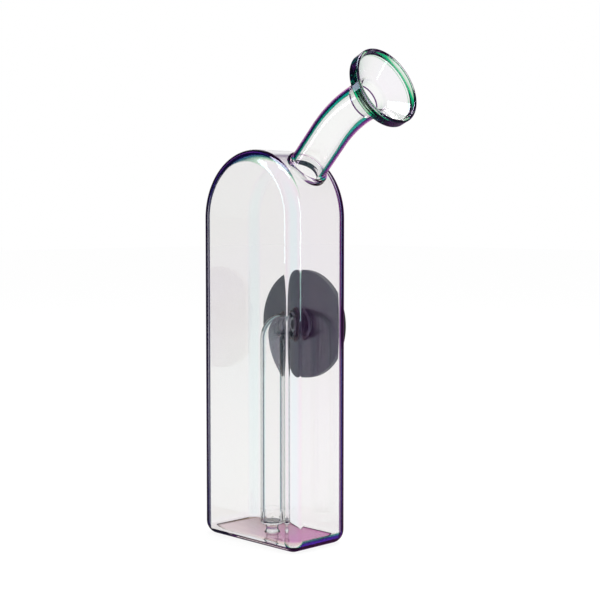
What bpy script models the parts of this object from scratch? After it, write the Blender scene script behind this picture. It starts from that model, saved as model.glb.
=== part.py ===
"""Hand-held glass water bubbler: flat-sided arched chamber, bent neck, dip tube and a plug-in disc bowl.

Metres, +Z up. The origin is the centre of the base's underside. +X runs towards the mouthpiece and +Y
towards the rear wall, where the bowl plugs in.
"""

from math import cos, pi, radians, sin

import bmesh
import bpy
from mathutils import Matrix, Vector

MM = 0.001
GAP = 0.3 * MM  # left between pieces that touch

# Chamber: an arched outline, drawn in X and Z, with a depth along Y
WIDTH = 56.0 * MM
DEPTH = 31.8 * MM
HEIGHT = 161.3 * MM
WALL = 2.2 * MM
FLOOR = 2.7 * MM
EDGE_RADIUS = 5.3 * MM
CORNER_RADIUS = 5.7 * MM
ARCH_RADIUS = WIDTH / 2
ARCH_Z = HEIGHT - ARCH_RADIUS
REAR_Y = DEPTH / 2

# Neck: leaves the arch square to it, then bends over towards +X
NECK_RADIUS = 7.75 * MM
BORE_RADIUS = 6.3 * MM
ROOT_ANGLE = radians(44.0)  # off vertical, both the place on the arch and the neck's direction there
NECK_STRAIGHT = 17.4 * MM
BEND_RADIUS = 50.4 * MM
BEND_ANGLE = radians(22.6)
MOUTH_STRAIGHT = 16.0 * MM  # from the end of the bend to the mouth's front plane
MOUTH_ANGLE = ROOT_ANGLE + BEND_ANGLE
COLLAR_BEAD = 1.1 * MM
COLLAR_SKIRT = 3.4 * MM  # below its top, far enough to meet the arch as it falls away

# Mouthpiece, measured back from its front plane
RIM_RADIUS = 15.6 * MM
RIM_WALL = 2.0 * MM
RIM_DEPTH = 4.4 * MM
DISH_STUB = 13.0 * MM
CONE_FOOT = 6.8 * MM  # where the dish opens out of the neck
LIP_EDGE = 0.9 * MM
BORE_FLARE = 0.6 * MM
CONE_FLARE = ((2.0 * MM, 1.3 * MM), (0.6 * MM, 2.4 * MM), (0.0, 3.8 * MM))  # off the neck, behind the foot

# Rear joint and dip tube
JOINT_Z = 88.9 * MM
SOCKET_RADIUS = 6.2 * MM
SOCKET_BORE = 4.9 * MM
SOCKET_END_Y = 7.4 * MM
SOCKET_STEP = 1.4 * MM  # thickness of the wall that the dip tube is fused to
SOCKET_SHOULDER = 0.5 * MM
SOCKET_WELD = 1.0 * MM
TUBE_RADIUS = 4.95 * MM
TUBE_BORE = 3.95 * MM
ELBOW_RADIUS = 5.6 * MM
TIP_TOP_Z = 12.8 * MM
TIP_BOTTOM_Z = 6.3 * MM
TIP_FLOOR = 1.4 * MM
TIP_EDGE = 1.0 * MM
TIP_SLITS = 6
SLIT_WIDTH = 0.9 * MM
SLIT_START = 1.8 * MM  # above the tip's underside
SLIT_STOP = 1.2 * MM  # below its top
FOOT_RADIUS = 3.3 * MM
FOOT_WAIST = 2.9 * MM
FOOT_SPREAD = 0.8 * MM

# Bowl, turned about the joint's axis
DISC_RADIUS = 22.8 * MM
DISC_FRONT_Y = REAR_Y + 1.1 * MM
DISC_THICKNESS = 2.6 * MM
DISC_EDGE = 0.4 * MM
DISC_RIM = 3.2 * MM  # width of the flat rim round the shallow dish
DISC_SLOPE = 1.2 * MM
DISC_DISH = 0.5 * MM
BOSS_RADIUS = 10.0 * MM
BOSS_BACK_Y = REAR_Y + 13.0 * MM
BOSS_CHAMFER = 0.8 * MM
BOSS_FOOT = 1.0 * MM
CUP_RADIUS = 8.0 * MM
CUP_WALL = 0.8 * MM
CUP_LIP = 0.8 * MM
CUP_LIP_RADIUS = BOSS_RADIUS - 0.9 * MM
CUP_CORNER = 0.6 * MM
CUP_FLOOR_Y = DISC_FRONT_Y + 4.0 * MM
SCREEN_STEP = 0.4 * MM
SCREEN_THICKNESS = 0.5 * MM
SCREEN_HOLE = 0.6 * MM
SCREEN_RINGS = ((0.0, 1), (2.2 * MM, 6), (4.4 * MM, 12))  # ring radius and number of holes
STEM_RADIUS = 3.3 * MM
STEM_BORE = 2.2 * MM
STEM_BACK_Y = DISC_FRONT_Y + 3.2 * MM
STEM_END_Y = 9.4 * MM
STEM_CHAMFER = 0.4 * MM
SLEEVE_RADIUS = 4.7 * MM
SLEEVE_BORE = 3.5 * MM
SLEEVE_END_Y = STEM_END_Y + 0.6 * MM
SLEEVE_CHAMFER = 0.4 * MM
SLEEVE_TAPER = 0.6 * MM
FLANGE_RADIUS = 6.4 * MM

ROUND_STEPS = 36
TUBE_RESOLUTION = 10  # 24 sides

COLOURS = {
    "clear_glass": ((0.93, 0.95, 0.96, 1.0), 0.02, 0.0),
    "pink_glass": ((0.90, 0.78, 0.80, 1.0), 0.04, 0.0),
    "dark_disc": ((0.055, 0.060, 0.066, 1.0), 0.42, 0.6),
    "steel": ((0.62, 0.62, 0.63, 1.0), 0.30, 1.0),
    "black_silicone": ((0.012, 0.012, 0.014, 1.0), 0.60, 0.0),
}

parts = None
cutters = None


def clear_scene():
    for obj in list(bpy.data.objects):
        bpy.data.objects.remove(obj, do_unlink=True)


def new_collection(name):
    collection = bpy.data.collections.new(name)
    bpy.context.scene.collection.children.link(collection)
    return collection


def material(name, finish):
    colour, roughness, metallic = COLOURS[finish]
    made = bpy.data.materials.new(name)
    made.use_nodes = True
    shader = made.node_tree.nodes["Principled BSDF"]
    shader.inputs["Base Color"].default_value = colour
    shader.inputs["Roughness"].default_value = roughness
    shader.inputs["Metallic"].default_value = metallic
    made.diffuse_color = colour
    return made


def mesh_object(name, mesh, collection):
    obj = bpy.data.objects.new(name, mesh)
    collection.objects.link(obj)
    return obj


def as_part(obj, name, finish):
    """Name a finished object as a node and give it its own material."""
    obj.name = name
    obj.data.materials.clear()
    obj.data.materials.append(material(name, finish))
    obj.data.shade_smooth()
    obj.data.set_sharp_from_angle(angle=radians(40))
    return obj


def as_cutter(obj):
    obj.hide_render = True
    obj.display_type = "WIRE"
    return obj


def boolean(obj, cutter, operation="DIFFERENCE"):
    modifier = obj.modifiers.new(operation.lower(), "BOOLEAN")
    modifier.operation = operation
    modifier.solver = "EXACT"
    modifier.object = cutter
    return obj


def curve_to_mesh(curve_object, name, collection):
    """Turn a capped curve into a closed mesh object and remove the curve."""
    graph = bpy.context.evaluated_depsgraph_get()
    mesh = bpy.data.meshes.new_from_object(curve_object.evaluated_get(graph))
    shape = bmesh.new()
    shape.from_mesh(mesh)
    bmesh.ops.remove_doubles(shape, verts=shape.verts, dist=0.001 * MM)
    bmesh.ops.dissolve_limit(shape, angle_limit=radians(0.5), verts=shape.verts, edges=shape.edges)
    bmesh.ops.recalc_face_normals(shape, faces=shape.faces)
    shape.to_mesh(mesh)
    shape.free()
    made = mesh_object(name, mesh, collection)
    made.matrix_world = curve_object.matrix_world.copy()
    bpy.data.objects.remove(curve_object, do_unlink=True)
    return made


def arc(centre, radius, start, end, count):
    """Points on an arc in a plane, both ends included; angles run anticlockwise from the first axis."""
    angles = [start + (end - start) * step / count for step in range(count + 1)]
    return [(centre[0] + radius * cos(a), centre[1] + radius * sin(a)) for a in angles]


def arch_outline(inset, floor_z, corner):
    """The chamber's outline in X and Z: two round bottom corners and a half-round top."""
    half = WIDTH / 2 - inset
    points = arc((half - corner, floor_z + corner), corner, -pi / 2, 0, 4)
    points += arc((0, ARCH_Z), half, 0, pi, 36)
    points += arc((-half + corner, floor_z + corner), corner, pi, 1.5 * pi, 4)
    return points


def arch_solid(name, inset, floor_z, corner, edge, collection):
    """A slab with the chamber's outline, its front and rear rims rounded."""
    curve = bpy.data.curves.new(name, "CURVE")
    curve.dimensions = "2D"
    curve.fill_mode = "BOTH"
    curve.extrude = DEPTH / 2 - inset
    outline = arch_outline(inset, floor_z, corner)
    spline = curve.splines.new("POLY")
    spline.points.add(len(outline) - 1)
    for point, (x, z) in zip(spline.points, outline):
        point.co = (x, z, 0, 1)
    spline.use_cyclic_u = True
    drawn = mesh_object(name, curve, collection)
    drawn.matrix_world = Matrix.Rotation(pi / 2, 4, "X")
    bpy.context.view_layer.update()
    slab = curve_to_mesh(drawn, name, collection)
    bevel = slab.modifiers.new("rounded_rims", "BEVEL")
    bevel.width = edge
    bevel.segments = 4
    bevel.limit_method = "ANGLE"
    bevel.angle_limit = radians(40)
    bevel.use_clamp_overlap = False
    return slab


def block(name, low, high, collection):
    """An axis-aligned block between two corners."""
    low, high = Vector(low), Vector(high)
    mesh = bpy.data.meshes.new(name)
    shape = bmesh.new()
    bmesh.ops.create_cube(shape, size=1.0)
    bmesh.ops.scale(shape, vec=high - low, verts=shape.verts)
    bmesh.ops.translate(shape, vec=(low + high) / 2, verts=shape.verts)
    shape.to_mesh(mesh)
    shape.free()
    return mesh_object(name, mesh, collection)


def cylinder(name, radius, length, place, collection, steps=ROUND_STEPS):
    """A cylinder along the place's Z axis, from its origin."""
    mesh = bpy.data.meshes.new(name)
    shape = bmesh.new()
    bmesh.ops.create_cone(
        shape, cap_ends=True, segments=steps, radius1=radius, radius2=radius, depth=length
    )
    bmesh.ops.translate(shape, vec=(0, 0, length / 2), verts=shape.verts)
    shape.to_mesh(mesh)
    shape.free()
    made = mesh_object(name, mesh, collection)
    made.matrix_world = place
    return made


def turned(name, profile, place, collection, steps=ROUND_STEPS):
    """A closed profile of (radius, height) points, outer side first and downwards, spun about Z."""
    mesh = bpy.data.meshes.new(name)
    count = len(profile)
    on_axis = profile[0][0] == 0
    edges = [(i, i + 1) for i in range(count - 1)] + ([] if on_axis else [(count - 1, 0)])
    mesh.from_pydata([(r, 0, h) for r, h in profile], edges, [])
    made = mesh_object(name, mesh, collection)
    made.matrix_world = place
    screw = made.modifiers.new("turned", "SCREW")
    screw.steps = steps
    screw.render_steps = steps
    screw.use_merge_vertices = True
    screw.merge_threshold = 0.00001
    return made


def tube_along(name, path, radius, collection):
    """A solid round bar along the path's points."""
    curve = bpy.data.curves.new(name, "CURVE")
    curve.dimensions = "3D"
    curve.bevel_depth = radius
    curve.bevel_resolution = TUBE_RESOLUTION
    curve.use_fill_caps = True
    spline = curve.splines.new("POLY")
    spline.points.add(len(path) - 1)
    for point, place in zip(spline.points, path):
        point.co = (*place, 1)
    drawn = mesh_object(name, curve, collection)
    bpy.context.view_layer.update()
    return curve_to_mesh(drawn, name, collection)


def along(angle):
    """Unit vector in the X-Z plane, this far off vertical."""
    return Vector((sin(angle), 0, cos(angle)))


def neck_path(start_back, end_back):
    """The neck's centre line, from start_back inside the arch to end_back short of the mouth's plane."""
    root = Vector((0, 0, ARCH_Z)) + ARCH_RADIUS * along(ROOT_ANGLE)
    path = [root - start_back * along(ROOT_ANGLE)]
    bend_start = root + NECK_STRAIGHT * along(ROOT_ANGLE)
    bend_centre = bend_start + BEND_RADIUS * along(ROOT_ANGLE + pi / 2)
    count = 8
    for step in range(count + 1):
        turned_by = BEND_ANGLE * step / count
        path.append(bend_centre - BEND_RADIUS * along(ROOT_ANGLE + pi / 2 + turned_by))
    path.append(path[-1] + (MOUTH_STRAIGHT - end_back) * along(MOUTH_ANGLE))
    return path


def mouth_place():
    """Frame of the mouth: origin in its front plane, Z out of the mouth."""
    centre = neck_path(0, 0)[-1]
    return Matrix.Translation(centre) @ Matrix.Rotation(MOUTH_ANGLE, 4, "Y")


def joint_place():
    """Frame of the rear joint: origin at Y = 0 on its axis, Z towards the rear."""
    return Matrix.Translation((0, 0, JOINT_Z)) @ Matrix.Rotation(-pi / 2, 4, "X")


def make_chamber():
    shell = arch_solid("chamber_shell", 0, 0, CORNER_RADIUS, EDGE_RADIUS, parts)
    base = arch_solid("base_plate", 0, 0, CORNER_RADIUS, EDGE_RADIUS, parts)
    # The cavity runs out through the bottom, so the shell is open there and the plate closes it.
    cavity = as_cutter(
        arch_solid("cavity", WALL, -WIDTH / 2, CORNER_RADIUS - WALL, EDGE_RADIUS - WALL, cutters)
    )
    boolean(shell, cavity)
    reach = 2 * WIDTH
    below = (-reach, -reach, -reach), (reach, reach, FLOOR + GAP)
    above = (-reach, -reach, FLOOR), (reach, reach, 3 * reach)
    for piece, (low, high) in ((shell, below), (base, above)):
        boolean(piece, as_cutter(block(piece.name + "_trim", low, high, cutters)))
    root = Matrix.Translation((0, 0, ARCH_Z)) @ Matrix.Rotation(ROOT_ANGLE, 4, "Y")
    root = root @ Matrix.Translation((0, 0, ARCH_RADIUS - 3 * WALL))
    boolean(shell, as_cutter(cylinder("neck_hole", BORE_RADIUS, 6 * WALL, root, cutters, 32)))
    hole = joint_place() @ Matrix.Translation((0, 0, REAR_Y - 2 * WALL))
    boolean(shell, as_cutter(cylinder("joint_hole", SOCKET_RADIUS + GAP, 4 * WALL, hole, cutters)))
    as_part(shell, "chamber_shell", "clear_glass")
    as_part(base, "base_plate", "pink_glass")


def arch_clearance(name):
    """A cylinder along Y, a gap larger than the arch, that trims what stands on it."""
    place = Matrix.Translation((0, -DEPTH, ARCH_Z)) @ Matrix.Rotation(-pi / 2, 4, "X")
    return as_cutter(cylinder(name, ARCH_RADIUS + GAP, 2 * DEPTH, place, cutters, 96))


def make_neck():
    tube = tube_along("neck_tube", neck_path(4 * WALL, DISH_STUB + GAP), NECK_RADIUS, parts)
    bore = tube_along("neck_bore", neck_path(6 * WALL, 0), BORE_RADIUS, cutters)
    boolean(tube, as_cutter(bore))
    boolean(tube, arch_clearance("neck_trim"))
    as_part(tube, "neck_tube", "clear_glass")

    inner = NECK_RADIUS + GAP
    profile = arc((inner, 0), COLLAR_BEAD, pi / 2, 0, 4)
    profile += [(inner + COLLAR_BEAD, -COLLAR_SKIRT), (inner, -COLLAR_SKIRT)]
    seat = Matrix.Translation((0, 0, ARCH_Z)) @ Matrix.Rotation(ROOT_ANGLE, 4, "Y")
    seat = seat @ Matrix.Translation((0, 0, ARCH_RADIUS))
    collar = turned("neck_collar", profile, seat, parts)
    boolean(collar, arch_clearance("collar_trim"))
    as_part(collar, "neck_collar", "clear_glass")


def make_mouthpiece():
    place = mouth_place()
    edge = LIP_EDGE
    inner = RIM_RADIUS - RIM_WALL
    rim = arc((RIM_RADIUS - edge, -edge), edge, pi / 2, 0, 3)
    rim += arc((RIM_RADIUS - edge, -RIM_DEPTH + edge), edge, 0, -pi / 2, 3)
    rim += arc((inner + edge, -RIM_DEPTH + edge), edge, -pi / 2, -pi, 2)
    rim += arc((inner + edge, -edge), edge, pi, pi / 2, 3)
    as_part(turned("mouth_rim", rim, place, parts), "mouth_rim", "clear_glass")

    lip = inner - GAP
    dish = [
        (lip, -edge - GAP),
        (lip, -RIM_DEPTH + edge),
        (lip - edge, -RIM_DEPTH),
    ]
    dish += [(NECK_RADIUS + off, -CONE_FOOT - behind) for off, behind in CONE_FLARE]
    dish += [
        (NECK_RADIUS, -DISH_STUB),
        (BORE_RADIUS, -DISH_STUB),
        (BORE_RADIUS, -CONE_FOOT - BORE_FLARE),
        (BORE_RADIUS + BORE_FLARE, -CONE_FOOT + BORE_FLARE),
    ]
    as_part(turned("mouth_dish", dish, place, parts), "mouth_dish", "clear_glass")


def make_joint():
    place = joint_place()
    socket = [
        (SOCKET_RADIUS, REAR_Y),
        (SOCKET_RADIUS, SOCKET_END_Y + SOCKET_STEP),
        (SOCKET_RADIUS - SOCKET_SHOULDER, SOCKET_END_Y + SOCKET_SHOULDER),
        (TUBE_RADIUS, SOCKET_END_Y),
        (TUBE_BORE, SOCKET_END_Y),
        (TUBE_BORE, SOCKET_END_Y + SOCKET_STEP),
        (SOCKET_BORE, SOCKET_END_Y + SOCKET_STEP + SOCKET_SHOULDER),
        (SOCKET_BORE, REAR_Y),
    ]
    # Heights run towards the rear, so the outer side already goes from high to low.
    as_part(turned("joint_socket", socket, place, parts), "joint_socket", "clear_glass")

    wall_y = REAR_Y - WALL - GAP
    inner = SOCKET_RADIUS + GAP
    profile = [(inner, wall_y), (inner + SOCKET_WELD, wall_y)]
    profile += arc((inner, wall_y), SOCKET_WELD, 0, -pi / 2, 3)[1:]
    as_part(turned("socket_bead", profile, place, parts), "socket_bead", "clear_glass")


def dip_path(start_back, end_z):
    """The dip tube's centre line: from the socket, round the elbow, down to end_z."""
    bend = [
        Vector((0, y, z))
        for y, z in arc((ELBOW_RADIUS, JOINT_Z - ELBOW_RADIUS), ELBOW_RADIUS, pi / 2, pi, 8)
    ]
    return [Vector((0, SOCKET_END_Y - start_back, JOINT_Z))] + bend + [Vector((0, 0, end_z))]


def make_dip_tube():
    tube = tube_along("dip_tube", dip_path(GAP, TIP_TOP_Z + GAP), TUBE_RADIUS, parts)
    bore = tube_along("dip_bore", dip_path(-WALL, TIP_BOTTOM_Z), TUBE_BORE, cutters)
    boolean(tube, as_cutter(bore))
    as_part(tube, "dip_tube", "clear_glass")

    bore_floor = TIP_BOTTOM_Z + TIP_FLOOR
    profile = [(TUBE_RADIUS, TIP_TOP_Z)]
    profile += arc((TUBE_RADIUS - TIP_EDGE, TIP_BOTTOM_Z + TIP_EDGE), TIP_EDGE, 0, -pi / 2, 3)
    profile += [(0, TIP_BOTTOM_Z), (0, bore_floor), (TUBE_BORE, bore_floor), (TUBE_BORE, TIP_TOP_Z)]
    tip = turned("diffuser_tip", profile, Matrix.Identity(4), parts, 24)
    for index in range(TIP_SLITS // 2):
        low = (-2 * TUBE_RADIUS, -SLIT_WIDTH / 2, TIP_BOTTOM_Z + SLIT_START)
        high = (2 * TUBE_RADIUS, SLIT_WIDTH / 2, TIP_TOP_Z - SLIT_STOP)
        slit = as_cutter(block(f"slit_{index}", low, high, cutters))
        slit.matrix_world = Matrix.Rotation(2 * pi * (index + 0.25) / TIP_SLITS, 4, "Z")
        boolean(tip, slit)
    as_part(tip, "diffuser_tip", "clear_glass")

    top, bottom = TIP_BOTTOM_Z - GAP, FLOOR + GAP
    foot = [
        (0, top),
        (FOOT_WAIST, top),
        (FOOT_WAIST, bottom + FOOT_SPREAD),
        (FOOT_RADIUS, bottom),
        (0, bottom),
    ]
    as_part(turned("tip_foot", foot, Matrix.Identity(4), parts, 24), "tip_foot", "clear_glass")


def make_bowl():
    place = joint_place()
    flange_y = REAR_Y + GAP
    front = DISC_FRONT_Y
    sleeve = [
        (FLANGE_RADIUS, front - GAP),
        (FLANGE_RADIUS, flange_y),
        (SLEEVE_RADIUS, flange_y),
        (SLEEVE_RADIUS, SLEEVE_END_Y + SLEEVE_TAPER),
        (SLEEVE_RADIUS - SLEEVE_CHAMFER, SLEEVE_END_Y),
        (SLEEVE_BORE, SLEEVE_END_Y),
        (SLEEVE_BORE, front - GAP),
    ]
    as_part(turned("joint_sleeve", sleeve, place, parts), "joint_sleeve", "black_silicone")

    stem = [
        (STEM_RADIUS, STEM_BACK_Y),
        (STEM_RADIUS, STEM_END_Y + STEM_CHAMFER),
        (STEM_RADIUS - STEM_CHAMFER, STEM_END_Y),
        (STEM_BORE, STEM_END_Y),
        (STEM_BORE, STEM_BACK_Y),
    ]
    as_part(turned("bowl_stem", stem, place, parts), "bowl_stem", "steel")

    back = front + DISC_THICKNESS
    edge = DISC_EDGE
    recess = CUP_RADIUS + GAP
    dish = DISC_RADIUS - DISC_RIM
    hub = FLANGE_RADIUS + BOSS_FOOT
    disc = [(BOSS_RADIUS - BOSS_CHAMFER, BOSS_BACK_Y), (BOSS_RADIUS, BOSS_BACK_Y - BOSS_CHAMFER)]
    disc += [(BOSS_RADIUS, back + BOSS_FOOT), (BOSS_RADIUS + BOSS_FOOT, back)]
    disc += arc((DISC_RADIUS - edge, back - edge), edge, pi / 2, 0, 3)
    disc += arc((DISC_RADIUS - edge, front + edge), edge, 0, -pi / 2, 3)
    disc += [
        (dish, front),
        (dish - DISC_SLOPE, front + DISC_DISH),
        (hub + DISC_SLOPE, front + DISC_DISH),
        (hub, front),
        (STEM_RADIUS + GAP, front),
        (STEM_RADIUS + GAP, STEM_BACK_Y + GAP),
        (recess, CUP_FLOOR_Y - GAP),
        (recess, BOSS_BACK_Y),
    ]
    as_part(turned("bowl_disc", disc, place, parts, 48), "bowl_disc", "dark_disc")

    floor = CUP_FLOOR_Y
    inner = CUP_RADIUS - CUP_WALL
    lip_y = BOSS_BACK_Y + GAP
    cup = [
        (CUP_LIP_RADIUS, lip_y + CUP_LIP),
        (CUP_LIP_RADIUS, lip_y),
        (CUP_RADIUS, lip_y),
        (CUP_RADIUS, floor + CUP_CORNER),
        (CUP_RADIUS - CUP_CORNER, floor),
        (STEM_BORE, floor),
        (STEM_BORE, floor + CUP_WALL),
        (inner - SCREEN_STEP, floor + CUP_WALL),
        (inner, floor + CUP_WALL + SCREEN_STEP),
        (inner, lip_y + CUP_LIP),
    ]
    as_part(turned("bowl_cup", cup, place, parts), "bowl_cup", "steel")

    screen_y = floor + CUP_WALL + SCREEN_STEP + GAP
    thick = SCREEN_THICKNESS
    seat = place @ Matrix.Translation((0, 0, screen_y))
    screen = cylinder("bowl_screen", inner - GAP, thick, seat, parts)
    for ring, count in SCREEN_RINGS:
        for index in range(count):
            angle = 2 * pi * index / count
            spot = place @ Matrix.Translation((ring * cos(angle), ring * sin(angle), screen_y - thick))
            name = f"screen_hole_{count}_{index}"
            boolean(screen, as_cutter(cylinder(name, SCREEN_HOLE, 3 * thick, spot, cutters, 8)))
    as_part(screen, "bowl_screen", "steel")


clear_scene()
parts = new_collection("glass_water_bubbler")
cutters = new_collection("cutters")
make_chamber()
make_neck()
make_mouthpiece()
make_joint()
make_dip_tube()
make_bowl()
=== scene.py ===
"""Looks of the glass water bubbler: iridescent glass, a satin disc bowl and a plain white studio.

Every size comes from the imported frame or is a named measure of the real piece, in metres.
"""

import logging
from dataclasses import dataclass, field
from enum import Enum
from math import cos, pi, radians, sin
from typing import Callable, Sequence

import bmesh
import bpy
from mathutils import Matrix, Vector


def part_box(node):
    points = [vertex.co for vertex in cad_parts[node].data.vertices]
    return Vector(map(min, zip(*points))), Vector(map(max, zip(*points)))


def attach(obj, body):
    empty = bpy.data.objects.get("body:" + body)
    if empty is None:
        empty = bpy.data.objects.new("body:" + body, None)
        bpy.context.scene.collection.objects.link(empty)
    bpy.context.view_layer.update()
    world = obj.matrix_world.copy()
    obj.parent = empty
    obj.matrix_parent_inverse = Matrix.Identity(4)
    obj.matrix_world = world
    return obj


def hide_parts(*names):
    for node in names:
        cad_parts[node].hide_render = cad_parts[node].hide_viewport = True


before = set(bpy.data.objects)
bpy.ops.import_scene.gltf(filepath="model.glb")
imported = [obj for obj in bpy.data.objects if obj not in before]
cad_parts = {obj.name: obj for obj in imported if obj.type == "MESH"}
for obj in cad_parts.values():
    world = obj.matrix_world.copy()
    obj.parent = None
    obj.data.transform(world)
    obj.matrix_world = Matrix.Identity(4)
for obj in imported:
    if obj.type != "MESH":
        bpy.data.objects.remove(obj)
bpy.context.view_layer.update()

LOG = logging.getLogger("bubbler")
MM = 0.001
SEAM = 0.03 * MM  # air left between fused pieces, thin enough to read as a weld line
PAINTED_BAND_SPREAD = 24.0 * MM  # half the stretch along X over which the painted edge shade and reflection colours change
FINE = 0.001 * MM  # points closer than this are one point
ALONG_Y = Matrix.Rotation(-pi / 2, 4, "X")  # turns a piece's Z axis to +Y
WHITE = (1.0, 1.0, 1.0)
Ring = tuple[float, float]  # radius and height of one ring of a turned piece
Colour = tuple[float, float, float]
Bands = tuple[tuple[float, Colour], ...]  # places on a colour ramp, 0 to 1, and their colours
Socket = bpy.types.NodeSocket


class Body(Enum):
    """The bodies that pieces ride on."""

    GLASS = "glass"
    SEAL = "seal"
    BOWL = "bowl"


# Mesh workshop: short wrappers round the modelling operators


def deselect_all() -> None:
    """Leave nothing selected and no object being edited."""
    if bpy.context.mode != "OBJECT":
        bpy.ops.object.mode_set(mode="OBJECT")
    bpy.ops.object.select_all(action="DESELECT")


def activate(piece: bpy.types.Object) -> None:
    """Select one object alone and make it the active one.

    Args:
        piece: the object to work on.
    """
    deselect_all()
    piece.select_set(True)
    bpy.context.view_layer.objects.active = piece


def settle(piece: bpy.types.Object, place: Matrix | None = None) -> bpy.types.Object:
    """Put a piece at its place and move that place into its mesh.

    Args:
        piece: the object, modelled round its own origin.
        place: where its origin goes, or None to keep it where it is.

    Returns:
        The same object, now at the world origin, unturned and unscaled.
    """
    activate(piece)
    if place is not None:
        piece.matrix_world = place
    bpy.ops.object.transform_apply(location=True, rotation=True, scale=True)
    return piece


def edit(piece: bpy.types.Object, mode: str = "VERT") -> None:
    """Open a mesh for editing with nothing selected.

    Args:
        piece: the object to edit.
        mode: VERT, EDGE or FACE.
    """
    activate(piece)
    bpy.ops.object.mode_set(mode="EDIT")
    bpy.ops.mesh.select_mode(type=mode)
    bpy.ops.mesh.select_all(action="DESELECT")


def pick_edges(piece: bpy.types.Object, wanted: Callable[[bmesh.types.BMEdge], bool]) -> None:
    """Select the edges of a mesh in edit mode that pass a test.

    Args:
        piece: the object in edit mode.
        wanted: a test of one edge.
    """
    mesh = bmesh.from_edit_mesh(piece.data)
    for edge in mesh.edges:
        if wanted(edge):
            edge.select_set(True)
    mesh.select_flush_mode()
    bmesh.update_edit_mesh(piece.data)


def apply_modifier(piece: bpy.types.Object, kind: str, **settings: object) -> None:
    """Add a modifier with these settings and apply it.

    Args:
        piece: the object to change.
        kind: Blender's name for the modifier type.
        **settings: the modifier's attributes.
    """
    activate(piece)
    modifier = piece.modifiers.new(kind.lower(), kind)
    for key, value in settings.items():
        setattr(modifier, key, value)
    bpy.ops.object.modifier_apply(modifier=modifier.name)


def combine(piece: bpy.types.Object, tool: bpy.types.Object, operation: str = "DIFFERENCE") -> None:
    """Cut a piece with a tool, or join the tool to it, and remove the tool."""
    apply_modifier(piece, "BOOLEAN", object=tool, operation=operation, solver="EXACT")
    bpy.data.objects.remove(tool, do_unlink=True)


def heal(piece: bpy.types.Object) -> None:
    """Merge the coincident points that cutting leaves along fused seams, and close what stays open.

    Args:
        piece: the object to clean.
    """
    edit(piece)
    bpy.ops.mesh.select_all(action="SELECT")
    bpy.ops.mesh.remove_doubles(threshold=3 * FINE)
    bpy.ops.mesh.dissolve_degenerate(threshold=FINE)
    bpy.ops.mesh.select_all(action="SELECT")
    bpy.ops.mesh.delete_loose()
    bpy.ops.mesh.select_all(action="SELECT")
    bpy.ops.mesh.fill_holes(sides=8)
    bpy.ops.mesh.select_all(action="SELECT")
    bpy.ops.mesh.normals_make_consistent(inside=False)
    bpy.ops.object.mode_set(mode="OBJECT")


def smooth(piece: bpy.types.Object, limit: float = 32.0) -> None:
    """Shade round stretches smooth and keep flat panels flat.

    Args:
        piece: the object to shade.
        limit: degrees past which an edge stays sharp.
    """
    activate(piece)
    bpy.ops.object.shade_smooth_by_angle(angle=radians(limit), keep_sharp_edges=False)
    apply_modifier(piece, "WEIGHTED_NORMAL", mode="FACE_AREA", weight=80, keep_sharp=True)


def box_piece(name: str, low: Sequence[float], high: Sequence[float]) -> bpy.types.Object:
    """Add a box between two corners.

    Args:
        name: the object's name.
        low: the lowest corner.
        high: the highest corner.

    Returns:
        The box, with its scale applied.
    """
    low, high = Vector(low), Vector(high)
    deselect_all()
    bpy.ops.mesh.primitive_cube_add(size=1.0, location=(low + high) / 2, scale=high - low)
    piece = bpy.context.object
    piece.name = name
    return settle(piece)


def rod_piece(name: str, radius: float, length: float, place: Matrix, sides: int) -> bpy.types.Object:
    """Add a plain rod that starts at a place and runs along its Z axis.

    Args:
        name: the object's name.
        radius: the rod's radius.
        length: the rod's length.
        place: the rod's frame.
        sides: how many sides it has.

    Returns:
        The rod.
    """
    deselect_all()
    bpy.ops.mesh.primitive_cylinder_add(vertices=sides, radius=radius, depth=length)
    piece = bpy.context.object
    piece.name = name
    return settle(piece, place @ Matrix.Translation((0, 0, length / 2)))


def lathe(name: str, rings: Sequence[Ring], sides: int = 128) -> bpy.types.Object:
    """Turn a closed profile about Z, ring by ring, as on a lathe.

    The first ring is a circle, and each next one is extruded from it, scaled and raised. A profile
    that starts on the axis is closed there with a point, and any other by a bridge from last to first.

    Args:
        name: the object's name.
        rings: radius and height of each ring, in order round the profile.
        sides: how many sides the piece has.

    Returns:
        The turned piece, upright at the origin.
    """
    radius, height = max(rings[0][0], FINE), rings[0][1]
    deselect_all()
    bpy.ops.mesh.primitive_circle_add(vertices=sides, radius=radius, fill_type="NOTHING", location=(0, 0, 0))
    piece = bpy.context.object
    piece.name = name
    bpy.ops.object.mode_set(mode="EDIT")
    bpy.ops.mesh.select_all(action="SELECT")
    bpy.ops.transform.translate(value=(0, 0, height))
    for next_radius, next_height in rings[1:]:
        next_radius = max(next_radius, FINE)
        bpy.ops.mesh.extrude_edges_move()
        grow = next_radius / radius
        bpy.ops.transform.resize(value=(grow, grow, 1), center_override=(0, 0, 0))
        bpy.ops.transform.translate(value=(0, 0, next_height - height))
        radius, height = next_radius, next_height
    if rings[0][0] > 0:
        bpy.ops.mesh.select_all(action="DESELECT")
        bpy.ops.mesh.select_mode(type="EDGE")
        pick_edges(piece, lambda edge: edge.is_boundary)
        bpy.ops.mesh.bridge_edge_loops()
    bpy.ops.mesh.select_all(action="SELECT")
    bpy.ops.mesh.remove_doubles(threshold=2 * FINE)
    bpy.ops.mesh.normals_make_consistent(inside=False)
    bpy.ops.object.mode_set(mode="OBJECT")
    return piece


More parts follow.
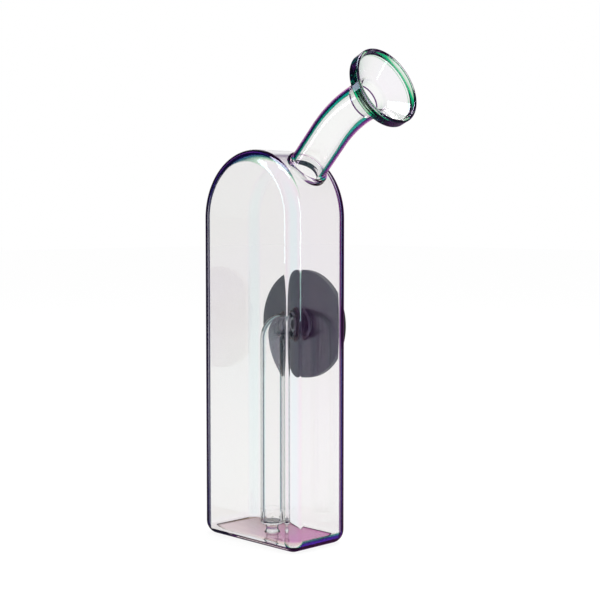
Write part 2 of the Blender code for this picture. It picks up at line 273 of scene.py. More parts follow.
def bent_bar(
    name: str,
    radius: float,
    sides: int,
    place: Matrix,
    run: Vector,
    bend: tuple[float, Vector, Sequence[float]],
    end: Vector,
) -> bpy.types.Object:
    """Draw a solid bent bar: extrude a disc, spin it round the bend and extrude it again.

    Args:
        name: the object's name.
        radius: the bar's radius.
        sides: how many sides it has.
        place: the frame of its first end.
        run: its first straight stretch.
        bend: the angle, the centre and the axis of its bend.
        end: its last straight stretch.

    Returns:
        The bar.
    """
    angle, centre, axis = bend
    deselect_all()
    bpy.ops.mesh.primitive_circle_add(vertices=sides, radius=radius, fill_type="NGON")
    piece = bpy.context.object
    piece.name = name
    settle(piece, place)
    edit(piece)
    bpy.ops.mesh.select_all(action="SELECT")
    bpy.ops.mesh.extrude_region_move(TRANSFORM_OT_translate={"value": run})
    bpy.ops.mesh.spin(steps=20, angle=angle, center=centre, axis=axis)
    bpy.ops.mesh.extrude_region_move(TRANSFORM_OT_translate={"value": end})
    bpy.ops.mesh.select_all(action="SELECT")
    bpy.ops.mesh.remove_doubles(threshold=FINE)
    bpy.ops.mesh.normals_make_consistent(inside=False)
    bpy.ops.object.mode_set(mode="OBJECT")
    return piece


def round_edges(
    piece: bpy.types.Object, wanted: Callable[[bmesh.types.BMEdge], bool], radius: float, segments: int
) -> None:
    """Round some edges of a mesh in edit mode.

    Args:
        piece: the object in edit mode.
        wanted: a test of one edge.
        radius: the rounding's radius.
        segments: faces across it.
    """
    bpy.ops.mesh.select_all(action="DESELECT")
    pick_edges(piece, wanted)
    bpy.ops.mesh.bevel(offset=radius, segments=segments, profile=0.5, affect="EDGES", clamp_overlap=False)


def soften(piece: bpy.types.Object, width: float, segments: int = 4, limit: float = 30.0) -> None:
    """Round every edge sharper than a limit in degrees, this wide and this many faces across."""
    apply_modifier(
        piece, "BEVEL", width=width, segments=segments, limit_method="ANGLE", angle_limit=radians(limit)
    )


def arc_rings(radius: float, height: float, bend: float, start: float, end: float, count: int) -> list[Ring]:
    """Rings along an arc in the profile's plane.

    Args:
        radius: the arc centre's radius.
        height: the arc centre's height.
        bend: the arc's own radius.
        start: its first angle, in degrees from straight outwards.
        end: its last angle.
        count: how many steps it has.

    Returns:
        count + 1 rings.
    """
    angles = [radians(start + (end - start) * step / count) for step in range(count + 1)]
    return [(radius + bend * cos(a), height + bend * sin(a)) for a in angles]


def lay_painted_edge(piece: bpy.types.Object, weight: Callable[[Vector], float]) -> None:
    """Record the weight, 0 to 1, of the painted edge shade and reflection colours at each point of a glass
    piece, as a point attribute that the glass material reads.
    """
    painted_edge = piece.data.attributes.new("painted_edge", "FLOAT", "POINT")
    painted_edge.data.foreach_set("value", [weight(vertex.co) for vertex in piece.data.vertices])


def show(piece: bpy.types.Object, finish: "Finish", body: Body, slot: str, *nodes: str) -> None:
    """Dress a finished piece, hang it on its body and let it stand for its CAD nodes.

    Args:
        piece: the finished object.
        finish: the material it gets.
        body: the body it rides on.
        slot: the record's material slot; not used.
        *nodes: the CAD nodes it replaces.
    """
    piece.data.materials.clear()
    piece.data.materials.append(finish.material())
    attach(piece, body.value)
    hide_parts(*nodes)
    LOG.info("%s stands for %s, %d faces", piece.name, ", ".join(nodes), len(piece.data.polygons))


# Finishes


@dataclass(frozen=True)
class Graph:
    """A node tree, with short ways to add to it."""

    tree: bpy.types.NodeTree

    def feed(self, socket: Socket, value: object) -> None:
        """Link an input or set it; a colour of three numbers is made opaque.

        Args:
            socket: the input.
            value: an output to link, or a plain value.
        """
        if isinstance(value, bpy.types.NodeSocket):
            self.tree.links.new(value, socket)
        elif socket.type == "RGBA":
            socket.default_value = (*value, 1.0)
        else:
            socket.default_value = value

    def node(self, kind: str, inputs: dict[str | int, object], **settings: object) -> bpy.types.Node:
        """Add a shader node.

        Args:
            kind: its type, without ShaderNode in front.
            inputs: what to feed to its inputs, by name or index.
            **settings: its attributes.

        Returns:
            The new node.
        """
        made = self.tree.nodes.new("ShaderNode" + kind)
        for key, value in settings.items():
            setattr(made, key, value)
        for key, value in inputs.items():
            self.feed(made.inputs[key], value)
        return made

    def place(self, coordinate: str) -> Socket:
        """Return a texture coordinate's socket."""
        return self.node("TexCoord", {}).outputs[coordinate]

    def noise(self, scale: float, detail: float, stretch: Sequence[float] = (1, 1, 1)) -> Socket:
        """Return 3-D noise: waves per metre, octaves, and how much finer it is along each axis."""
        spot = self.node("Mapping", {"Vector": self.place("Object"), "Scale": stretch}).outputs["Vector"]
        return self.node("TexNoise", {"Vector": spot, "Scale": scale, "Detail": detail}).outputs["Fac"]

    def remap(self, value: Socket, low: float, high: float) -> Socket:
        """Return a 0 to 1 value spread from low to high."""
        return self.node("MapRange", {"Value": value, "To Min": low, "To Max": high}).outputs["Result"]

    def rise(self, value: Socket, start: float, end: float) -> Socket:
        """Return a socket that climbs smoothly from 0 to 1 as a value goes from start to end."""
        span = {"Value": value, "From Min": start, "From Max": end}
        return self.node("MapRange", span, interpolation_type="SMOOTHSTEP").outputs["Result"]

    def past(self, value: Socket, limit: float) -> Socket:
        """Return a socket that is 1 where a value is over a limit."""
        return self.node("Math", {0: value, 1: limit}, operation="GREATER_THAN").outputs["Value"]

    def mix(self, factor: Socket, first: Socket | Colour, second: Socket | Colour) -> Socket:
        """Return a mix of two colours, by a factor of 0 for the first and 1 for the second."""
        return self.node("Mix", {0: factor, 6: first, 7: second}, data_type="RGBA").outputs[2]

    def ramp(self, value: Socket, bands: Bands) -> Socket:
        """Add a colour ramp.

        Args:
            value: where to read it.
            bands: its stops.

        Returns:
            The colour's socket.
        """
        made = self.node("ValToRGB", {"Fac": value})
        stops = made.color_ramp.elements
        while len(stops) < len(bands):
            stops.new(0.5)
        for stop, (place, colour) in zip(stops, bands):
            stop.position = place
            stop.color = (*colour, 1.0)
        return made.outputs["Color"]

    def bump(self, height: Socket, depth: float, strength: float) -> Socket:
        """Return a normal driven by a height, this deep in metres and this strong."""
        inputs = {"Height": height, "Distance": depth, "Strength": strength}
        return self.node("Bump", inputs).outputs["Normal"]


@dataclass(frozen=True)
class Finish:
    """A named material that is made once and shared."""

    name: str

    def material(self) -> bpy.types.Material:
        """Return the material, making it on first use."""
        known = bpy.data.materials.get(self.name)
        if known:
            return known
        made = bpy.data.materials.new(self.name)
        made.use_nodes = True
        graph = Graph(made.node_tree)
        for name, value in self.look(graph).items():
            graph.feed(made.node_tree.nodes["Principled BSDF"].inputs[name], value)
        return made

    def look(self, graph: Graph) -> dict[str, object]:
        """Return what the Principled shader's inputs get; each finish has its own."""
        raise NotImplementedError


@dataclass(frozen=True)
class Surround:
    """What the studio shows: straight, mirrored by the first wall, and mirrored deep in the piece."""

    straight: Colour = WHITE
    left_card: Colour = (0.035, 0.035, 0.085)
    right_card: Colour = (0.130, 0.032, 0.165)
    backdrop: Colour = (0.95, 0.95, 0.96)
    deep: Colour = (0.78, 0.79, 0.79)
    deep_from: float = 3.5  # glass surfaces passed, between the first wall's three and the next's four
    behind: tuple[float, float, float] = (-0.714, 0.700, 0.0)
    rightwards: tuple[float, float, float] = (0.700, 0.714, 0.0)
    backdrop_edges: tuple[float, float] = (0.970, 0.992)  # cosines off straight behind
    card_edges: tuple[float, float] = (-0.3, 0.3)  # cosines off straight to the right
    flatten: tuple[float, float, float] = (1.0, 1.0, 0.3)  # makes the backdrop taller than wide

    def seen(self, graph: Graph, coordinate: str) -> Socket:
        """Add the surround's colour.

        Args:
            graph: the world's or the floor's graph.
            coordinate: the texture coordinate that points outwards from the piece there.

        Returns:
            The colour's socket.
        """
        inputs = {0: graph.place(coordinate), 1: self.flatten}
        level = graph.node("VectorMath", inputs, operation="MULTIPLY").outputs[0]
        unit = graph.node("VectorMath", {0: level}, operation="NORMALIZE").outputs[0]
        path = graph.node("LightPath", {}).outputs
        side = self.towards(graph, unit, self.rightwards, self.card_edges)
        cards = graph.mix(side, self.left_card, self.right_card)
        beside = graph.mix(graph.past(path["Transmission Depth"], self.deep_from), cards, self.deep)
        turned = graph.mix(self.towards(graph, unit, self.behind, self.backdrop_edges), beside, self.backdrop)
        return graph.mix(graph.past(path["Glossy Depth"], 0.5), self.straight, turned)

    def towards(self, graph: Graph, unit: Socket, aim: Sequence[float], edges: tuple[float, float]) -> Socket:
        """Return a socket that rises from 0 to 1, between two cosines, as a direction nears an aim."""
        along = graph.node("VectorMath", {0: unit, 1: aim}, operation="DOT_PRODUCT").outputs["Value"]
        return graph.rise(along, *edges)


@dataclass(frozen=True)
class FilmGlassPaintedEdges(Finish):
    """Heavy clear glass with a thin film, and painted shade and painted iridescent reflections in its colour:
    bands by facing angle make it colourful and dark where the surface turns away.
    """

    tint: Colour = WHITE
    # painted shade and painted iridescent reflections: base colours by facing angle, 0 face-on to 1 edge-on
    bands: Bands = ()
    far_painted_bands: Bands = ()  # the bands at the +X end, where they differ
    # painted edge tint where no bands are laid, seen nearly edge-on
    painted_crest: Colour = (0.50, 0.50, 0.06)
    painted_crest_edges: tuple[float, float] = (0.93, 0.975)
    drift: float = 0.03
    drift_scale: float = 28.0
    ior: float = 1.46
    film_ior: float = 1.53
    film_nm: float = 420.0
    film_spread_nm: float = 90.0

    def tinted(self, bands: Bands) -> Bands:
        """Return bands as base colours, squared because each surface shows only the root."""
        return tuple(
            (place, tuple((a * b) ** 2 for a, b in zip(colour, self.tint))) for place, colour in bands
        )

    def look(self, graph: Graph) -> dict[str, object]:
        """Paint shade and iridescent reflection colours by how far the surface turns away, where the painted
        edge weight is laid, and leave faint smears.

        Args:
            graph: the material's graph.

        Returns:
            The Principled shader's inputs.
        """
        # Painted shade and painted iridescent reflections: the base colour follows the facing angle, shifted
        # by noise, so turned-away surfaces darken and colour.
        facing = graph.node("LayerWeight", {"Blend": 0.5}).outputs["Facing"]
        wander = graph.remap(graph.noise(self.drift_scale, 2.0, (1.0, 1.0, 0.45)), -self.drift, self.drift)
        shifted = graph.node("Math", {0: facing, 1: wander}, operation="ADD", use_clamp=True).outputs["Value"]
        painted_edge = graph.ramp(shifted, self.tinted(self.bands))
        if self.far_painted_bands:
            across = graph.node("SeparateXYZ", {0: graph.place("Object")}).outputs["X"]
            far = graph.ramp(shifted, self.tinted(self.far_painted_bands))
            painted_edge = graph.mix(graph.rise(across, -PAINTED_BAND_SPREAD, PAINTED_BAND_SPREAD), painted_edge, far)
        # Painted edge tint on the parts without bands, where the surface turns nearly edge-on.
        plain = graph.ramp(facing, self.tinted(tuple(zip(self.painted_crest_edges, (WHITE, self.painted_crest)))))
        laid = graph.node("Attribute", {}, attribute_name="painted_edge").outputs["Fac"]
        thin, thick = self.film_nm - self.film_spread_nm, self.film_nm + self.film_spread_nm
        return {
            "Base Color": graph.mix(laid, plain, painted_edge),
            "Transmission Weight": 1.0,
            "IOR": self.ior,
            "Thin Film IOR": self.film_ior,
            "Thin Film Thickness": graph.remap(graph.noise(20.0, 1.0), thin, thick),
            "Roughness": graph.remap(graph.noise(60.0, 4.0), 0.0, 0.02),
        }


@dataclass(frozen=True)
class SatinDisc(Finish):
    """Dark anodised metal, turned and bead-blasted to a satin."""

    colour: Colour = (0.014, 0.019, 0.015)
    roughness: float = 0.42

    def look(self, graph: Graph) -> dict[str, object]:
        """Mottle the anodising, grain the surface and vary its sheen.

        Args:
            graph: the material's graph.

        Returns:
            The Principled shader's inputs.
        """
        mottle = graph.noise(90.0, 5.0)
        dark, light = (tuple(c * share for c in self.colour) for share in (0.8, 1.25))
        return {
            "Base Color": graph.ramp(mottle, ((0.0, dark), (1.0, light))),
            "Specular IOR Level": 0.25,
            "Roughness": graph.remap(mottle, self.roughness - 0.06, self.roughness + 0.06),
            "Normal": graph.bump(graph.noise(2600.0, 3.0), 0.02 * MM, 0.35),
        }


@dataclass(frozen=True)
class TurnedSteel(Finish):
    """Stainless steel with fine turning marks round the Y axis."""

    dark: Colour = (0.492, 0.492, 0.500)
    light: Colour = (0.648, 0.630, 0.610)

    def look(self, graph: Graph) -> dict[str, object]:
        """Lay fine marks across the turning axis, with a faint heat tint."""
        marks = graph.noise(1500.0, 2.0, (0.15, 3.0, 0.15))
        return {
            "Base Color": graph.ramp(graph.noise(220.0, 3.0), ((0.0, self.dark), (1.0, self.light))),
            "Metallic": 1.0,
            "Roughness": graph.remap(marks, 0.18, 0.38),
            "Normal": graph.bump(marks, 0.01 * MM, 0.4),
        }


@dataclass(frozen=True)
class BlackSilicone(Finish):
    """Matt black silicone with a dusty sheen."""

    dark: Colour = (0.006, 0.006, 0.008)
    light: Colour = (0.020, 0.020, 0.023)

    def look(self, graph: Graph) -> dict[str, object]:
        """Dust the black unevenly and pit the surface."""
        dust = graph.noise(400.0, 4.0)
        return {
            "Base Color": graph.ramp(dust, ((0.0, self.dark), (1.0, self.light))),
            "Roughness": graph.remap(dust, 0.45, 0.7),
            "Normal": graph.bump(graph.noise(3000.0, 2.0), 0.02 * MM, 0.3),
        }


@dataclass(frozen=True)
class WhiteSweep(Finish):
    """The studio's white floor, which mirrored rays see as the surround's cards."""

    albedo: Colour = (0.10, 0.10, 0.10)
    glow: Colour = (0.89, 0.89, 0.89)

    def look(self, graph: Graph) -> dict[str, object]:
        """Glow white, and show the surround's colours once a ray has been mirrored."""
        return {
            "Base Color": self.albedo,
            "Roughness": 0.9,
            "Specular IOR Level": 0.0,
            "Emission Color": Surround(straight=self.glow).seen(graph, "Object"),
            "Emission Strength": 1.0,
        }


# Painted shade and painted iridescent reflections, as colour bands by facing angle from 0 face-on to 1
# edge-on: faint pastel tints face-on, then dark navy, violet and brown bands, with a tan fringe at the very
# edge.
PAINTED_PASTELS = (
    (0.00, (0.93, 1.00, 1.00)),
    (0.05, (0.97, 0.99, 1.00)),
    (0.14, (1.00, 0.97, 1.00)),
    (0.27, WHITE),
)
NEAR_PAINTED_BANDS = PAINTED_PASTELS + (
    (0.32, (0.50, 0.52, 0.60)),
    (0.36, (0.06, 0.08, 0.20)),
    (0.42, (0.01, 0.02, 0.18)),
    (0.56, (0.03, 0.01, 0.18)),
    (0.68, (0.08, 0.04, 0.03)),
    (0.80, (0.30, 0.22, 0.10)),
    (0.92, (0.85, 0.74, 0.55)),
)
# The same painted shade and reflection bands towards the +X end, greener and more violet.
FAR_PAINTED_BANDS = PAINTED_PASTELS + (
    (0.31, (0.50, 0.84, 0.58)),
    (0.35, (0.08, 0.34, 0.30)),
    (0.41, (0.02, 0.03, 0.24)),
    (0.52, (0.08, 0.01, 0.40)),
    (0.66, (0.30, 0.03, 0.42)),
    (0.80, (0.66, 0.16, 0.52)),
    (0.92, (0.90, 0.66, 0.48)),
)
CLEAR_GLASS = FilmGlassPaintedEdges(
    "clear_film_painted_edge_glass", tint=(0.979, 0.979, 0.979), bands=NEAR_PAINTED_BANDS, far_painted_bands=FAR_PAINTED_BANDS
)
PINK_GLASS = FilmGlassPaintedEdges(
    "pink_film_painted_edge_glass",
    tint=(0.985, 0.89, 0.91),
    bands=NEAR_PAINTED_BANDS,
    far_painted_bands=FAR_PAINTED_BANDS,
    painted_crest=(0.98, 0.94, 0.95),
)
# Painted shade and painted iridescent reflections for the neck: clear face-on, then dark emerald, teal,
# violet and magenta bands towards the edges.
NECK_GLASS = FilmGlassPaintedEdges(
    "neck_film_painted_edge_glass",
    bands=(
        (0.00, WHITE),
        (0.385, WHITE),
        (0.40, (0.10, 0.30, 0.24)),
        (0.44, (0.00, 0.48, 0.30)),
        (0.52, (0.00, 0.46, 0.40)),
        (0.58, (0.10, 0.16, 0.50)),
        (0.64, (0.62, 0.16, 0.74)),
        (0.78, (0.95, 0.34, 0.80)),
        (0.90, (0.92, 0.74, 0.46)),
    ),
    film_nm=380.0,
)
# Painted shade and painted highlights for the lip: dark bands alternating with bright emerald and violet
# ones, tan at the very edge.
LIP_GLASS = FilmGlassPaintedEdges(
    "lip_film_painted_edge_glass",
    bands=(
        (0.00, WHITE),
        (0.12, (0.97, 1.00, 0.98)),
        (0.20, (0.00, 0.62, 0.26)),
        (0.28, (0.01, 0.06, 0.05)),
        (0.37, (0.00, 0.70, 0.28)),
        (0.45, (0.02, 0.05, 0.10)),
        (0.55, (0.30, 0.04, 0.40)),
        (0.66, (0.01, 0.10, 0.14)),
        (0.76, (0.00, 0.80, 0.50)),
        (0.86, (0.50, 0.08, 0.50)),
        (0.96, (0.95, 0.62, 0.20)),
    ),
    drift=0.10,
    drift_scale=60.0,
)
# Painted shade for the dip tube: clear face-on, dark lines towards its edges.
TUBE_GLASS = FilmGlassPaintedEdges(
    "tube_film_painted_edge_glass",
    bands=(
        (0.00, WHITE),
        (0.36, WHITE),
        (0.48, (0.30, 0.50, 0.50)),
        (0.58, (0.02, 0.06, 0.10)),
        (0.90, (0.02, 0.03, 0.08)),
    ),
    film_nm=380.0,
)
# Painted shade: the weld glass is darkened all over and darkest at turned-away edges, so it reads dark grey
# against the dark disc instead of showing bright refracted crescents.
SOCKET_GLASS = FilmGlassPaintedEdges(
    "socket_film_painted_shade_glass",
    tint=(0.72, 0.74, 0.78),
    bands=(
        (0.00, (0.30, 0.32, 0.36)),
        (0.34, (0.16, 0.20, 0.26)),
        (0.60, (0.03, 0.04, 0.08)),
        (0.92, (0.10, 0.08, 0.12)),
    ),
    film_nm=380.0,
)
DISC_SATIN = SatinDisc("dark_satin")
CUP_STEEL = TurnedSteel("cup_steel")
SILICONE = BlackSilicone("black_silicone")


# Sub-assemblies


def node_size(node: str) -> Vector:
    """Return the size of a CAD node's box."""
    low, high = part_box(node)
    return high - low


@dataclass
class Chamber:
    """The flat-sided arched chamber, its pink base and the flat slab shape that both are cut from."""

    wall: float = 2.2 * MM
    edge: float = 5.3 * MM
    corner: float = 5.7 * MM
    bore: float = 6.3 * MM
    root_angle: float = radians(44.0)
    floor: float = field(init=False)
    width: float = field(init=False)
    depth: float = field(init=False)
    height: float = field(init=False)

    def __post_init__(self) -> None:
        """Read the outer sizes from the frame."""
        low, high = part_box("chamber_shell")
        self.width, self.depth, self.height = high.x - low.x, high.y - low.y, high.z
        self.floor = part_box("base_plate")[1].z

    @property
    def arch_z(self) -> float:
        """Height of the arch's centre."""
        return self.height - self.width / 2

    def slab(self, name: str, inset: float, bottom: float, edge: float) -> bpy.types.Object:
        """Model the arched slab from a block: round its top, its bottom corners and its rims.

        Args:
            name: the object's name.
            inset: how far its sides lie inside the chamber's outside.
            bottom: the height of its underside.
            edge: the radius of its front and rear rims.

        Returns:
            The slab.
        """
        half, deep = self.width / 2 - inset, self.depth / 2 - inset
        top = self.height - inset
        piece = box_piece(name, (-half, -deep, bottom), (half, deep, top))
        near = 0.01 * MM

        def level_at(height: float) -> Callable[[bmesh.types.BMEdge], bool]:
            """Return a test for the two edges along Y at one height."""
            return lambda e: (
                all(abs(v.co.z - height) < near for v in e.verts) and e.verts[0].co.x * e.verts[1].co.x > 0
            )

        def on_a_face(e: bmesh.types.BMEdge) -> bool:
            """Return whether an edge lies in the front or the rear face."""
            first, second = (vert.co.y for vert in e.verts)
            return abs(abs(first) - deep) < near and abs(first - second) < near

        nearly_half = half * 0.9999  # a hair of flat keeps the arch's two roundings apart
        corner = max(self.corner - inset, edge * 1.02)  # always rounder than the rims
        edit(piece, "EDGE")
        round_edges(piece, level_at(top), nearly_half, 72)
        round_edges(piece, level_at(bottom), corner, 12)
        bpy.ops.mesh.select_all(action="SELECT")
        bpy.ops.mesh.remove_doubles(threshold=near)
        round_edges(piece, on_a_face, edge, 14)
        bpy.ops.mesh.select_all(action="SELECT")
        bpy.ops.mesh.remove_doubles(threshold=2 * FINE)
        bpy.ops.mesh.normals_make_consistent(inside=False)
        bpy.ops.object.mode_set(mode="OBJECT")
        return piece

    def trim(self, piece: bpy.types.Object, low: float, high: float) -> None:
        """Cut away everything between two heights."""
        reach = 2 * self.width
        combine(piece, box_piece("trim", (-reach, -reach, low), (reach, reach, high)))

    def painted_edge_weight(self, point: Vector) -> float:
        """Lay the painted edge shade and reflection colours on the outer rounded edges, and none on the flat
        panes and inside.

        Args:
            point: a point of the piece's surface.

        Returns:
            The painted colours' weight there.
        """
        near = 0.02 * MM
        in_from_face = self.depth / 2 - abs(point.y)
        in_from_side = self.width / 2 - abs(point.x)
        rim = near < in_from_face < self.edge - near
        foot = point.z < self.corner - near and near < in_from_side
        if point.z > self.arch_z:
            in_from_side = self.width / 2 - Vector((point.x, point.z - self.arch_z)).length
        outside = min(in_from_face, in_from_side, point.z)
        if rim and in_from_side < self.edge:
            sunk = Vector((self.edge - in_from_face, self.edge - in_from_side)).length
            return float(sunk > self.edge - self.wall / 2)
        if foot and in_from_side < self.corner:
            sunk = Vector((self.corner - in_from_side, self.corner - point.z)).length
            return float(sunk > self.corner - self.wall / 2)
        return float(rim and outside < near)

    def root_place(self) -> Matrix:
        """Frame on the arch where the neck stands, Z out of the arch."""
        centre = Matrix.Translation((0, 0, self.arch_z)) @ Matrix.Rotation(self.root_angle, 4, "Y")
        return centre @ Matrix.Translation((0, 0, self.width / 2))

    def build(self) -> None:
        """Make the shell and the base."""
        shell = self.slab("chamber_glass", 0.0, 0.0, self.edge)
        combine(shell, self.slab("cavity", self.wall, -self.width / 2, self.edge - self.wall))
        self.trim(shell, -self.width, self.floor + SEAM)
        hole = self.root_place() @ Matrix.Translation((0, 0, -3 * self.wall))
        combine(shell, rod_piece("neck_hole", self.bore, 6 * self.wall, hole, 96))
        low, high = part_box("joint_socket")
        middle = (low + high) / 2
        rear = Matrix.Translation((0, self.depth / 2 - 2 * self.wall, middle.z)) @ ALONG_Y
        radius = (high.x - low.x) / 2 + SEAM
        combine(shell, rod_piece("joint_hole", radius, 4 * self.wall, rear, 96))
        smooth(shell)
        lay_painted_edge(shell, self.painted_edge_weight)
        show(shell, CLEAR_GLASS, Body.GLASS, "clear_glass", "chamber_shell")

        base = self.slab("base_glass", 0.0, 0.0, self.edge)
        self.trim(base, self.floor, 2 * self.height)
        smooth(base)
        lay_painted_edge(base, self.painted_edge_weight)
        show(base, PINK_GLASS, Body.GLASS, "pink_glass", "base_plate")


@dataclass
class Neck:
    """The bent neck, with the weld bead where it stands on the arch."""

    chamber: Chamber
    radius: float = 7.75 * MM
    bore: float = 6.3 * MM
    straight: float = 17.4 * MM
    bend_radius: float = 50.4 * MM
    bend_angle: float = radians(22.6)
    mouth_straight: float = 16.0 * MM
    stub: float = 13.0 * MM
    bead: float = 1.1 * MM

    def direction(self, angle: float) -> Vector:
        """Return the unit vector in the X-Z plane this far off vertical."""
        return Vector((sin(angle), 0, cos(angle)))

    def mouth_angle(self) -> float:
        """Return the mouth's direction, off vertical."""
        return self.chamber.root_angle + self.bend_angle

    @property
    def root(self) -> Vector:
        """Where the neck's axis leaves the arch."""
        return self.chamber.root_place().translation

    @property
    def hub(self) -> Vector:
        """Centre of the bend."""
        bend_start = self.root + self.straight * self.direction(self.chamber.root_angle)
        return bend_start + self.bend_radius * self.direction(self.chamber.root_angle + pi / 2)

    def mouth_place(self) -> Matrix:
        """Frame of the mouth: origin in its front plane, Z out of it."""
        bend_end = self.hub - self.bend_radius * self.direction(self.mouth_angle() + pi / 2)
        front = bend_end + self.mouth_straight * self.direction(self.mouth_angle())
        return Matrix.Translation(front) @ Matrix.Rotation(self.mouth_angle(), 4, "Y")

    def painted_edge_weight(self, point: Vector) -> float:
        """Lay the painted edge shade and reflection colours fully on the neck's outside and a quarter in its
        bore.

        Args:
            point: a point of the piece's surface.

        Returns:
            The painted colours' weight there.
        """
        along = (point - self.root).dot(self.direction(self.chamber.root_angle))
        in_mouth = self.mouth_place().inverted() @ point
        if along < self.straight:
            out = (self.chamber.root_place().inverted() @ point).to_2d().length
        elif in_mouth.z > -self.mouth_straight:
            out = in_mouth.to_2d().length
        else:
            from_hub = Vector((point.x - self.hub.x, point.z - self.hub.z)).length
            out = Vector((from_hub - self.bend_radius, point.y)).length
        return 1.0 if out > (self.radius + self.bore) / 2 else 0.25

    def skin(self, name: str, radius: float, below: float, beyond: float) -> bpy.types.Object:
        """Draw a solid bar along the neck.

        Args:
            name: the object's name.
            radius: the bar's radius.
            below: how far it starts inside the arch.
            beyond: how far past the bend it runs.

        Returns:
            The bar.
        """
        place = self.chamber.root_place() @ Matrix.Translation((0, 0, -below))
        rise = self.direction(self.chamber.root_angle) * (self.straight + below)
        bend = self.bend_angle, self.hub, (0, -1, 0)
        return bent_bar(name, radius, 128, place, rise, bend, self.direction(self.mouth_angle()) * beyond)

    def build(self) -> None:
        """Make the neck's tube with its bead, seated on the arch."""
        neck = self.skin("neck_glass", self.radius, 3 * MM, self.mouth_straight - self.stub - SEAM)
        outer, size = self.radius + self.bead, self.bead
        rings = [(self.radius - 0.5 * MM, 2.2 * size), (self.radius + 0.02 * MM, 2.2 * size)]
        rings += arc_rings(self.radius, 0.4 * MM, size, 75, 0, 10)
        rings += [(outer, -2.5 * MM), (self.radius - 0.5 * MM, -2.5 * MM)]
        bead = settle(lathe("bead", rings), self.chamber.root_place())
        combine(neck, bead, "UNION")
        combine(neck, self.skin("neck_bore", self.bore, 8 * MM, self.mouth_straight))
        depth = self.chamber.depth
        seat = Matrix.Translation((0, -depth, self.chamber.arch_z)) @ ALONG_Y
        arch = rod_piece("seat", self.chamber.width / 2 + SEAM, 2 * depth, seat, 288)
        combine(neck, arch)
        heal(neck)
        smooth(neck)
        lay_painted_edge(neck, self.painted_edge_weight)
        show(neck, NECK_GLASS, Body.GLASS, "clear_glass", "neck_tube", "neck_collar")


@dataclass
class Mouthpiece:
    """The dished mouthpiece with its thick fire-polished lip."""

    neck: Neck
    lip_radius: float = 15.6 * MM
    lip_wall: float = 1.5 * MM
    lip_depth: float = 4.4 * MM
    lip_round: float = 0.55 * MM
    cone_foot: float = 6.8 * MM

    def painted_edge_weight(self, point: Vector) -> float:
        """Lay the painted edge shade and reflection colours fully on the lip, less on the cone's outside and
        next to none in the dish.

        Args:
            point: a point of the piece's surface.

        Returns:
            The painted colours' weight there.
        """
        local = self.neck.mouth_place().inverted() @ point
        radius = local.to_2d().length
        if radius > self.lip_radius - self.lip_wall / 2:
            return 1.0
        outside = self.neck.radius + max(0.0, local.z + self.cone_foot + 3.6 * MM)
        return 0.35 if radius > outside - 0.5 * MM else 0.04

    def build(self) -> None:
        """Turn the mouthpiece in one profile and weld it to the neck's end."""
        tube, bore, lip = self.neck.radius, self.neck.bore, self.lip_round
        inner = self.lip_radius - self.lip_wall
        rings = arc_rings(self.lip_radius - lip, -lip, lip, 90, 0, 8)
        rings += arc_rings(self.lip_radius - lip, lip - self.lip_depth, lip, 0, -90, 8)
        rings += [(inner + 0.2 * MM, -self.lip_depth - 0.3 * MM)]
        rings += [(tube + 3.2 * MM, -self.cone_foot - 0.6 * MM)]
        rings += arc_rings(tube + 2.4 * MM, -self.cone_foot - 3.6 * MM, 2.4 * MM, 110, 180, 8)
        rings += [(tube, -self.neck.stub), (bore, -self.neck.stub)]
        rings += arc_rings(bore + 1.2 * MM, -self.cone_foot - 0.9 * MM, 1.2 * MM, 180, 128, 6)
        rings += [(inner - 0.7 * MM, -1.9 * MM), (inner - 0.2 * MM, -1.4 * MM)]
        rings += arc_rings(inner + lip, -lip, lip, 180, 100, 6)
        piece = settle(lathe("mouthpiece_glass", rings, 160), self.neck.mouth_place())
        smooth(piece, 40)
        lay_painted_edge(piece, self.painted_edge_weight)
        show(piece, LIP_GLASS, Body.GLASS, "clear_glass", "mouth_dish", "mouth_rim")


